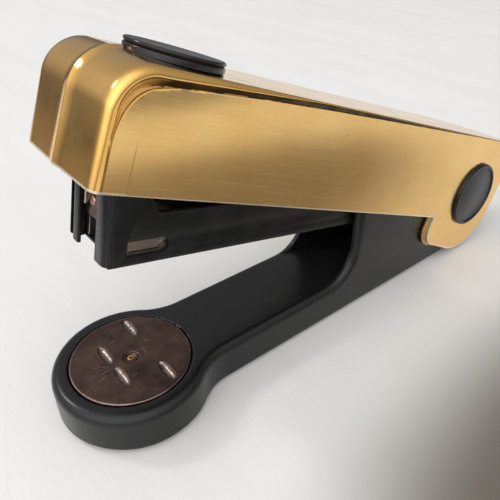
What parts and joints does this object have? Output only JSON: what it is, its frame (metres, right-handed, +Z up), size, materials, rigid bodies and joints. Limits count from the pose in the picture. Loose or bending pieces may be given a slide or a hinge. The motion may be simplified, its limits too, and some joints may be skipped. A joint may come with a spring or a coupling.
{
  "type": "desk stapler",
  "caption": "Sheet-metal desk stapler: rounded folded cover with thumb button, sprung magazine and pusher, flat base arm with a turning clinching anvil disc.",
  "frame": {"origin": "on the desk plane, on the sole's underside, under the centre of the turning anvil", "axes": "+X rearwards from the anvil to the hinge, +Y across the stapler, +Z up"},
  "size_m": [0.1466, 0.0344, 0.0767],
  "materials": {
    "black_enamel": "satin black stove enamel with a fine grain, small chips at the edges",
    "black_sheet": "semi-gloss black lacquer on bent sheet steel",
    "gold_sheet": "gold-coloured sheet metal, polished at the rims and front, brushed along the sides",
    "gold_liner": "gold-coloured inner sheet, satin",
    "black_rubber": "matt black rubber",
    "black_plastic": "glossy black moulded plastic",
    "grey_plastic": "glossy dark grey moulded plastic",
    "anvil_steel": "brown burnished steel, worn and scratched",
    "brass_post": "plain turned brass, dulled",
    "steel": "bare sheet steel, slightly yellowed",
    "spring_steel": "oiled spring steel",
    "staple_wire": "zinc-plated staple wire, glued in a strip",
    "copper_rivet": "copper rivet",
    "nylon": "natural nylon",
    "zinc_screw": "zinc-plated screw steel"
  },
  "bodies": {
    "base": {"rubber_sole": "black_rubber", "sole_screws": "zinc_screw", "base_casting": "black_enamel", "pivot_pin": "steel", "pivot_washers": "nylon", "lift_spring": "spring_steel", "lift_spring_rivets": "steel"},
    "anvil": {"anvil_plate": "anvil_steel", "anvil_post": "brass_post", "anvil_washer": "spring_steel", "anvil_clip": "spring_steel"},
    "magazine": {"magazine_housing": "black_sheet", "front_plate": "black_sheet", "guide_left": "steel", "guide_right": "steel", "staple_rail": "steel", "staple_strip": "staple_wire", "rail_rivets": "black_sheet", "spring_stop": "steel", "guide_rod": "steel", "pusher_spring": "spring_steel", "tail_bush": "steel", "torsion_spring": "spring_steel"},
    "pusher": {"pusher": "steel"},
    "cover": {"cover_shell": "gold_sheet", "cover_liner": "gold_liner", "cap_left": "black_plastic", "cap_right": "black_plastic", "button_lower": "black_plastic", "button_upper": "grey_plastic", "button_screw": "zinc_screw", "driver_blade": "steel", "blade_rivet": "copper_rivet"}
  },
  "joints": [
    {"name": "anvil_turn", "type": "hinge", "parent": "base", "child": "anvil", "pos_m": [0, 0, 0.01], "axis": [0, 0, 1], "range_deg": [0, 180]},
    {"name": "magazine_hinge", "type": "hinge", "parent": "base", "child": "magazine", "pos_m": [0.109, 0, 0.0198], "axis": [0, 1, 0], "range_deg": [-14.9, 0], "stiffness_Nm_per_rad": 0.4, "springref_deg": 34.38, "deforming": ["lift_spring"]},
    {"name": "cover_hinge", "type": "hinge", "parent": "magazine", "child": "cover", "pos_m": [0.109, 0, 0.0198], "axis": [0, 1, 0], "range_deg": [-3.3, 45], "stiffness_Nm_per_rad": 0.6, "springref_deg": 6.3, "deforming": ["torsion_spring"]},
    {"name": "pusher_slide", "type": "slide", "parent": "magazine", "child": "pusher", "axis": [0.9736, 0, -0.2284], "range_m": [0, 0.045], "stiffness_N_per_m": 40, "springref_m": -0.03, "deforming": ["pusher_spring"]}
  ]
}
